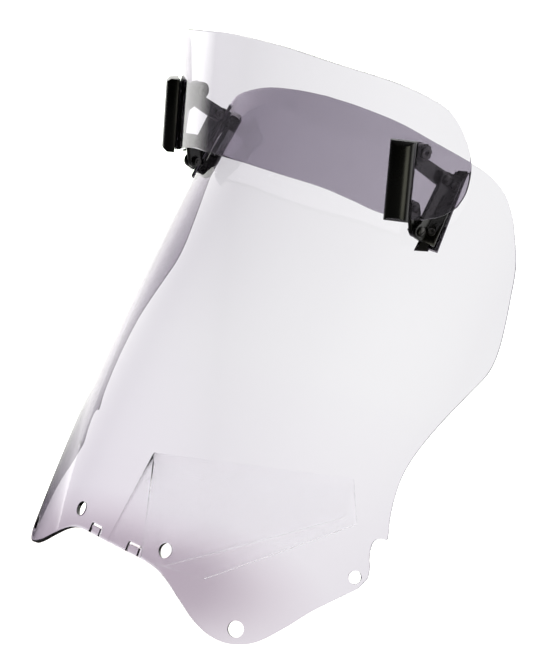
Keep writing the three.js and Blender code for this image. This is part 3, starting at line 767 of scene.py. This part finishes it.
def plate_pad(clamp, name):
    inner, _, outer_high = clamp.plate
    inner_inset, outer_inset = PLATE_PAD_INSET
    return clamp_pad(clamp, name, -clamp.bar_side, inner + inner_inset, outer_high - outer_inset)


# ------------------------------------------------------------------ links and pins


def link(name, parts, pivots, bores):
    """Flat link: each part is wrapped round circles given as (y, z, radius)."""
    place = side_frame(MECHANISM_X - LINK_THICKNESS / 2)
    shapes = []
    for circles in parts:
        points = [point for y, z, radius in circles for point in circle(y, z, radius, 64)]
        shapes.append(prism(name, hull_outline(points), place, 0, LINK_THICKNESS))
    body, *others = shapes
    if others:
        combine(body, others, "UNION")
    low, high = -CUT_MARGIN, LINK_THICKNESS + CUT_MARGIN
    holes = [cylinder(place, *pivot, low, high, bore) for pivot, bore in zip(pivots, bores)]
    combine(body, holes, "DIFFERENCE")
    soften(body, 0.5, 3, 35)
    return body


def pivot_screw(name, pivot, head_x, end_x, radius):
    """Screw with a domed head across which a slot is cut."""
    rim = head_x + HEAD_RIM
    dome = HEAD_HEIGHT - HEAD_RIM
    profile = [
        (end_x, 0), (end_x, PIN_RADIUS - TIP_CHAMFER), (end_x + TIP_CHAMFER, PIN_RADIUS),
        (head_x, PIN_RADIUS), (head_x, radius), (rim, radius),
    ]
    steps = 6
    for i in range(1, steps):
        a = math.pi / 2 * i / steps
        profile.append((rim + dome * math.sin(a), radius * math.cos(a)))
    profile.append((head_x + HEAD_HEIGHT, 0))
    screw = turned(name, pivot, profile)
    slot_place = side_frame(head_x) @ Matrix.Translation((pivot[0], pivot[1], 0))
    across = (-SLOT_WIDTH / 2, SLOT_WIDTH / 2)
    depth = (HEAD_HEIGHT - SLOT_DEPTH, HEAD_HEIGHT + CUT_MARGIN)
    slot_cut = block("slot", slot_place @ Matrix.Rotation(SLOT_TURN, 4, "Z"), (-5, 5), across, depth)
    combine(screw, [slot_cut], "DIFFERENCE")
    soften(screw, 0.12, 2, 35)
    return screw


def pivot_nut(name, pivot, x):
    nut = prism(name, circle(*pivot, NUT_RADIUS, 6), side_frame(x), 0, NUT_THICKNESS)
    low, high = -CUT_MARGIN, NUT_THICKNESS + CUT_MARGIN
    combine(nut, [cylinder(side_frame(x), *pivot, low, high, PIN_BORE, 24)], "DIFFERENCE")
    soften(nut, 0.3, 2, 35)
    return nut


def bush(name):
    start = BLADE_CLAMP.lug_x - GAP - FLANGE_THICKNESS
    shoulder = start + FLANGE_THICKNESS
    end = MECHANISM_X + LINK_THICKNESS / 2 + LAYER_GAP + DETENT_THICKNESS + GAP
    tip = end + FLANGE_THICKNESS
    profile = [
        (start, BUSH_BORE), (start, FLANGE_RADIUS), (shoulder, FLANGE_RADIUS),
        (shoulder, BUSH_RADIUS), (end, BUSH_RADIUS), (end, FLANGE_RADIUS),
        (tip, FLANGE_RADIUS), (tip, BUSH_BORE), (start, BUSH_BORE),
    ]
    piece = turned(name, BLADE_UPPER_PIVOT, profile, 48)
    weld(piece)
    soften(piece, 0.2, 3, 35)
    return piece


def weld(thing):
    shape = bmesh.new()
    shape.from_mesh(thing.data)
    bmesh.ops.remove_doubles(shape, verts=shape.verts, dist=1e-7)
    bmesh.ops.recalc_face_normals(shape, faces=shape.faces)
    shape.to_mesh(thing.data)
    shape.free()


def detent_disc(name):
    x = MECHANISM_X + LINK_THICKNESS / 2 + LAYER_GAP
    y, z = BLADE_UPPER_PIVOT
    steps = 12
    count = DETENT_TEETH * steps
    outline = []
    for i in range(count):
        a = 2 * math.pi * i / count
        notch = max(0.0, math.cos(DETENT_TEETH * a + math.pi)) ** 1.5
        radius = DETENT_RADIUS - DETENT_DEPTH * notch
        outline.append((y + radius * math.cos(a), z + radius * math.sin(a)))
    piece = prism(name, outline, side_frame(x), 0, DETENT_THICKNESS)
    low, high = -CUT_MARGIN, DETENT_THICKNESS + CUT_MARGIN
    combine(piece, [cylinder(side_frame(x), y, z, low, high, BUSH_RADIUS + GAP)], "DIFFERENCE")
    soften(piece, 0.2, 2, 40)
    return piece


def clamp_screw(clamp, name, y):
    """Button-head screw with a hexagon recess."""
    side = -clamp.bar_side
    head = PLATE_INNER + PLATE_THICKNESS + GAP
    top = head + CLAMP_HEAD_HEIGHT
    place = clamp.place @ Matrix.Translation((clamp.screw_shift, y, 0))

    def bar(part, radius, count, start, end):
        return prism(part, circle(0, 0, radius, count), place, *sorted((side * start, side * end)))

    # The shank goes 0.1 mm into the cap so that the two join.
    screw = bar(name, PIN_RADIUS, 24, -CLAMP_FACE - CLAMP_SCREW_BITE, head + 0.1)
    combine(screw, [bar("cap", CLAMP_HEAD_RADIUS, 32, head, top)], "UNION")
    recess = bar("recess", CLAMP_RECESS_RADIUS, 6, top - CLAMP_RECESS_DEPTH, head + CUT_MARGIN)
    combine(screw, [recess], "DIFFERENCE")
    soften(screw, 0.3, 3, 35)
    return screw


# ------------------------------------------------------------------ build the sheets


def through_hole(surface, s, z, radius):
    return cylinder(surface_frame(surface, s, z), 0, 0, -HOLE_CUT_REACH, HOLE_CUT_REACH, radius, 64)


def tongue_groove(side):
    """Groove round three sides of a locating tongue, with a thin web left behind it."""
    outline = [
        (-9, -12), (-8, 7), (-7, 8), (7, 8), (8, 7), (9, -12),
        (6.8, -12), (6, 5.8), (-6, 5.8), (-6.8, -12),
    ]
    place = surface_frame(MainSurface, side * TONGUE_S, TONGUE_Z)
    return prism("groove", outline, place, TONGUE_WEB - SHEET_THICKNESS / 2, GROOVE_CUT_REACH)


def side_notch(side):
    """Step cut into the side edge above the rear corner."""
    outline = [(12, 16), (-2, 15)]
    outline += quadratic((-2, 15), (-7.5, 13), (-7.5, 7))
    outline += quadratic((-7.5, 7), (-7, 0), (-4, -6))
    outline += quadratic((-4, -6), (-1, -11), (0, -18))
    outline += [(12, -20)]
    outline = [(side * x, y) for x, y in outline]
    place = surface_frame(MainSurface, side * NOTCH_S, NOTCH_Z)
    return prism("notch", outline, place, -NOTCH_CUT_REACH, NOTCH_CUT_REACH)


def quadratic(a, b, c, count=8):
    """Points after a on the curve from a to c that b pulls."""
    points = []
    for i in range(1, count + 1):
        t = i / count
        x, y = ((1 - t) ** 2 * a[k] + 2 * t * (1 - t) * b[k] + t * t * c[k] for k in (0, 1))
        points.append((x, y))
    return points


def mirrored_cutters(cutters):
    pairs = []
    for cutter in cutters:
        outward(cutter)
        pairs += [cutter, mirror_copy(cutter, "mirror")]
    return pairs


def main_screen():
    def place(u, v):
        return outline_patch(SCREEN_BOTTOM, SCREEN_SIDE, SCREEN_TOP, u, v)

    half = SHEET_THICKNESS / 2
    screen = sheet(
        "main_screen_shape", MainSurface, place, columns=240, rows=160, front=half, back=-half
    )
    cutters = []
    for s, z, radius in SCREEN_HOLES:
        cutters += [through_hole(MainSurface, side * s, z, radius) for side in (-1, 1)]
    cutters += mirrored_cutters(SCREEN_CLAMP.screw_holes())
    for side in (-1, 1):
        cutters += [tongue_groove(side), side_notch(side)]
    for cutter in cutters:
        outward(cutter)
    combine(screen, cutters, "DIFFERENCE")
    soften(screen, 0.5, 2, 50)
    dress(screen, "main_screen", "tinted_acrylic")


def spoiler_blade():
    def place(u, v):
        return outline_patch(BLADE_BOTTOM, BLADE_SIDE, BLADE_TOP, u, v)

    half = SHEET_THICKNESS / 2
    blade = sheet(
        "spoiler_blade_shape", BladeSurface, place, columns=220, rows=60, front=half, back=-half
    )
    combine(blade, mirrored_cutters(BLADE_CLAMP.screw_holes()), "DIFFERENCE")
    soften(blade, 0.5, 2, 50)
    dress(blade, "spoiler_blade", "tinted_acrylic")


def support_wedge():
    """Folded clear sheet with a rounded ridge.

    Each section gives the ridge's Y and Z, the feet's Y and Z, and half the width between them.
    """
    sections = (
        (-95.5, 121.5, -127, 37, 26),
        (-60, 109.5, -57, 0, 25),
        (142.55, 42, 137.5, 0, 13),
    )
    vertices = []
    for ridge_y, ridge, foot_y, foot, half in sections:
        inner = half - WEDGE_THICKNESS
        vertices += [
            (-half, foot_y, foot), (0, ridge_y, ridge), (half, foot_y, foot),
            (inner, foot_y, foot), (0, ridge_y, ridge - 3 * WEDGE_THICKNESS), (-inner, foot_y, foot),
        ]
    faces = []
    for k in range(len(sections) - 1):
        for i in range(6):
            a, b = 6 * k + i, 6 * k + (i + 1) % 6
            faces.append((a, b, b + 6, a + 6))
    last = 6 * (len(sections) - 1)
    for start in (0, last):
        faces += [(start, start + 1, start + 4, start + 5), (start + 1, start + 2, start + 3, start + 4)]
    wedge = mesh_object("support_wedge_shape", vertices, faces)
    outward(wedge)
    soften(wedge, 0.8, 3, 20)
    dress(wedge, "support_wedge", "clear_acrylic")


main_screen()
spoiler_blade()
support_wedge()


# ------------------------------------------------------------------ build the mechanisms

for part, clamp in (("blade", BLADE_CLAMP), ("screen", SCREEN_CLAMP)):
    bar_pad_side, plate_pad_side = ("front", "rear") if clamp.bar_side > 0 else ("rear", "front")
    dress_pair(clamp_bar(clamp, f"{part}_clamp_bar_left_shape"), f"{part}_clamp_bar", "black_plastic")
    dress_pair(clamp_plate(clamp, f"{part}_bracket_left_shape"), f"{part}_bracket", "black_plastic")
    name = f"{part}_{bar_pad_side}_pad"
    dress_pair(bar_pad(clamp, f"{name}_left_shape"), name, "rubber_pad")
    name = f"{part}_{plate_pad_side}_pad"
    dress_pair(plate_pad(clamp, f"{name}_left_shape"), name, "rubber_pad")

eye = (*BLADE_UPPER_PIVOT, UPPER_LINK_EYE_RADIUS)
elbow_y, elbow_z, elbow_radius = UPPER_LINK_ELBOW
elbow = (BLADE_UPPER_PIVOT[0] + elbow_y, BLADE_UPPER_PIVOT[1] + elbow_z, elbow_radius)
upper_parts = ((eye, elbow), (elbow, (*SCREEN_UPPER_PIVOT, UPPER_LINK_END_RADIUS)))
upper_pivots = (BLADE_UPPER_PIVOT, SCREEN_UPPER_PIVOT)
upper_bores = (BUSH_RADIUS + BUSH_CLEARANCE, PIN_BORE)
dress_pair(
    link("upper_link_left_shape", upper_parts, upper_pivots, upper_bores), "upper_link", "black_plastic"
)
lower_parts = (((*BLADE_LOWER_PIVOT, LOWER_LINK_RADIUS), (*SCREEN_LOWER_PIVOT, LOWER_LINK_END_RADIUS)),)
lower_pivots = (BLADE_LOWER_PIVOT, SCREEN_LOWER_PIVOT)
lower_bores = (PIN_BORE, PIN_BORE)
dress_pair(
    link("lower_link_left_shape", lower_parts, lower_pivots, lower_bores), "lower_link", "black_plastic"
)
dress_pair(bush("upper_pivot_bush_left_shape"), "upper_pivot_bush", "dark_fastener")
dress_pair(detent_disc("detent_disc_left_shape"), "detent_disc", "black_plastic")

SCREEN_HEAD_X = SCREEN_CLAMP.lug_x + LUG_THICKNESS + GAP
SCREEN_NUT_X = MECHANISM_X - LINK_THICKNESS / 2 - LAYER_GAP - NUT_THICKNESS
BLADE_HEAD_X = MECHANISM_X + LINK_THICKNESS / 2 + GAP
BLADE_NUT_X = BLADE_CLAMP.lug_x - GAP - NUT_THICKNESS
for name, pivot, head_x, nut_x, radius in (
    ("screen_upper_pivot", SCREEN_UPPER_PIVOT, SCREEN_HEAD_X, SCREEN_NUT_X, SCREEN_HEAD_RADIUS),
    ("screen_lower_pivot", SCREEN_LOWER_PIVOT, SCREEN_HEAD_X, SCREEN_NUT_X, SCREEN_HEAD_RADIUS),
    ("blade_lower_pivot", BLADE_LOWER_PIVOT, BLADE_HEAD_X, BLADE_NUT_X, BLADE_HEAD_RADIUS),
):
    screw = pivot_screw(f"{name}_screw_left_shape", pivot, head_x, nut_x - THREAD_BEYOND_NUT, radius)
    dress_pair(screw, f"{name}_screw", "dark_fastener")
    dress_pair(pivot_nut(f"{name}_nut_left_shape", pivot, nut_x), f"{name}_nut", "dark_fastener")
for level, y in (("upper", CLAMP_SCREW_SPACING / 2), ("lower", -CLAMP_SCREW_SPACING / 2)):
    for part, clamp in (("blade", BLADE_CLAMP), ("screen", SCREEN_CLAMP)):
        name = f"{part}_clamp_screw_{level}"
        dress_pair(clamp_screw(clamp, f"{name}_left_shape", y), name, "dark_fastener")


# ------------------------------------------------------------------ floor, light and camera


# What the camera sees is far brighter than white. Reflections see a softer room: bright
# behind the object and dim on the side that the camera is on.
SWEEP = (0.926, 1.0, 0.875)
SWEEP_STRENGTH = 2.44
# The floor glows brighter towards its left side than elsewhere: painted light, not a lamp.
SWEEP_STRENGTH_LEFT = 3.05
ACROSS = (0.65, 0.76, 0.0)
BEHIND = (-0.3, 0.95, 0.0)
ROOM_STRENGTH = 2.4
ROOM_FULL_AT = 0.45

# The shade on the floor is an ellipse: its middle and half sizes in metres, and its colour at
# growing distances, where 1 is one half size away.
SHADE_MIDDLE = (-0.04, -0.1, 0)
SHADE_SIZE = (0.96, 0.6, 1)
SHADE_STOPS = (
    (0.1, (0.53, 0.455, 0.52)), (0.17, (0.81, 0.75, 0.8)),
    (0.25, (0.93, 0.905, 0.94)), (0.8, (1, 1, 1)),
)
FLOOR_REACH = 6000
FLOOR_Z = -0.5

CAMERA_PLACE = (1.5370, -1.3021, 0.8600)
CAMERA_RIGHT = (0.6516, 0.7581, 0.0265)
CAMERA_DOWN = (0.2490, -0.1808, -0.9515)


def is_seen(nodes, links):
    """1 for rays that come straight from the camera or through a clear piece."""
    path = nodes.new("ShaderNodeLightPath")
    seen = nodes.new("ShaderNodeMath")
    seen.operation = "MAXIMUM"
    links.new(path.outputs["Is Camera Ray"], seen.inputs[0])
    links.new(path.outputs["Is Transmission Ray"], seen.inputs[1])
    return seen.outputs[0]


def floor():
    """Pale floor with the soft tinted shadow that the screen leaves where it stands."""
    low, high = -FLOOR_REACH, FLOOR_REACH
    corners = [(low, low, FLOOR_Z), (high, low, FLOOR_Z), (high, high, FLOOR_Z), (low, high, FLOOR_Z)]
    plane = mesh_object("floor", corners, [(0, 1, 2, 3)])
    shader = Shader("floor")
    stretch = shader.add("ShaderNodeMapping", vector_type="TEXTURE")
    stretch.inputs["Location"].default_value = SHADE_MIDDLE
    stretch.inputs["Scale"].default_value = SHADE_SIZE
    shader.join(shader.coordinates(), stretch.inputs["Vector"])
    distance = shader.add("ShaderNodeVectorMath", operation="LENGTH")
    shader.join(stretch.outputs["Vector"], distance.inputs[0])
    shade = shader.add("ShaderNodeValToRGB")
    shade.color_ramp.interpolation = "B_SPLINE"
    elements = shade.color_ramp.elements
    while len(elements) < len(SHADE_STOPS):
        elements.new(0.5)
    for element, (position, color) in zip(elements, SHADE_STOPS):
        element.position = position
        element.color = (*(a * b for a, b in zip(color, SWEEP)), 1)
    shader.join(distance.outputs["Value"], shade.inputs["Fac"])
    # Painted light: the floor's glow is made stronger towards its left side.
    across = shader.add("ShaderNodeVectorMath", operation="DOT_PRODUCT")
    across.inputs[1].default_value = ACROSS
    shader.join(shader.coordinates(), across.inputs[0])
    glow = shader.add("ShaderNodeEmission")
    strength = shader.ramp(
        across.outputs["Value"], SWEEP_STRENGTH_LEFT, SWEEP_STRENGTH, start=-0.16, end=-0.03
    )
    shader.join(strength, glow.inputs["Strength"])
    shader.join(shade.outputs["Color"], glow.inputs["Color"])
    grain = shader.mix(shader.noise(30.0), (0.05, 0.05, 0.052, 1), (0.07, 0.07, 0.07, 1))
    shader.join(grain, shader.principled.inputs["Base Color"])
    rearwards = shader.add("ShaderNodeVectorMath", operation="DOT_PRODUCT")
    rearwards.inputs[1].default_value = BEHIND
    shader.join(shader.coordinates(), rearwards.inputs[0])
    soft = shader.ramp(
        rearwards.outputs["Value"], low=0.02, high=ROOM_STRENGTH, start=0.02, end=ROOM_FULL_AT
    )
    shader.join(soft, shader.principled.inputs["Emission Strength"])
    shader.set(Roughness=0.8, Emission_Color=(1, 1, 0.97, 1))
    mix = shader.add("ShaderNodeMixShader")
    shader.join(is_seen(shader.nodes, shader.links), mix.inputs[0])
    shader.join(shader.principled.outputs[0], mix.inputs[1])
    shader.join(glow.outputs[0], mix.inputs[2])
    shader.join(mix.outputs[0], shader.output.inputs["Surface"])
    plane.data.materials.append(shader.material)


def surroundings():
    """White sweep to look at; a dimmer room to reflect."""
    world = bpy.data.worlds.new("studio")
    bpy.context.scene.world = world
    world.use_nodes = True
    nodes, links = world.node_tree.nodes, world.node_tree.links
    nodes.clear()
    white = nodes.new("ShaderNodeBackground")
    white.inputs["Color"].default_value = (*SWEEP, 1)
    white.inputs["Strength"].default_value = SWEEP_STRENGTH
    direction = nodes.new("ShaderNodeTexCoord")
    facing = nodes.new("ShaderNodeVectorMath")
    facing.operation = "DOT_PRODUCT"
    facing.inputs[1].default_value = BEHIND
    links.new(direction.outputs["Generated"], facing.inputs[0])
    level = nodes.new("ShaderNodeMapRange")
    level.interpolation_type = "SMOOTHSTEP"
    levels = {"From Min": 0.0, "From Max": ROOM_FULL_AT, "To Min": 0.01, "To Max": ROOM_STRENGTH}
    for name, value in levels.items():
        level.inputs[name].default_value = value
    links.new(facing.outputs["Value"], level.inputs["Value"])
    room = nodes.new("ShaderNodeBackground")
    room.inputs["Color"].default_value = (1, 1, 0.96, 1)
    links.new(level.outputs["Result"], room.inputs["Strength"])
    mix = nodes.new("ShaderNodeMixShader")
    output = nodes.new("ShaderNodeOutputWorld")
    links.new(is_seen(nodes, links), mix.inputs[0])
    links.new(room.outputs[0], mix.inputs[1])
    links.new(white.outputs[0], mix.inputs[2])
    links.new(mix.outputs[0], output.inputs["Surface"])


def area_light(name, place, target, size, power, color):
    data = bpy.data.lights.new(name, "AREA")
    data.shape = "RECTANGLE"
    data.size, data.size_y = size
    data.energy = power
    data.color = color
    light = bpy.data.objects.new(name, data)
    bpy.context.scene.collection.objects.link(light)
    light.location = place
    light.rotation_euler = (Vector(target) - Vector(place)).to_track_quat("-Z", "Y").to_euler()
    light.visible_camera = False
    light.visible_transmission = False
    return light


def camera():
    data = bpy.data.cameras.new("camera")
    data.lens = 128.96
    data.sensor_width = 36
    data.clip_start, data.clip_end = 0.05, 50
    thing = bpy.data.objects.new("camera", data)
    bpy.context.scene.collection.objects.link(thing)
    right = Vector(CAMERA_RIGHT)
    down = Vector(CAMERA_DOWN)
    forward = right.cross(down)
    turn_matrix = Matrix((right, -down, -forward)).transposed()
    thing.matrix_world = Matrix.Translation(CAMERA_PLACE) @ turn_matrix.to_4x4()
    bpy.context.scene.camera = thing


floor()
surroundings()
key = area_light(
    "key", place=(0.2, -1.6, 1.8), target=(0, 0, 0.3), size=(0.9, 0.9), power=4, color=(1, 0.98, 0.9)
)
key.visible_glossy = False
side_panel = area_light(
    "side_panel",
    place=(0.98, -0.31, 0.22),
    target=(0.15, 0.05, 0.35),
    size=(0.52, 0.6),
    power=2.8,
    color=(1, 1, 0.8),
)
side_panel.light_linking.receiver_collection = DARK_PARTS
camera()
bpy.context.scene.view_settings.view_transform = "Standard"
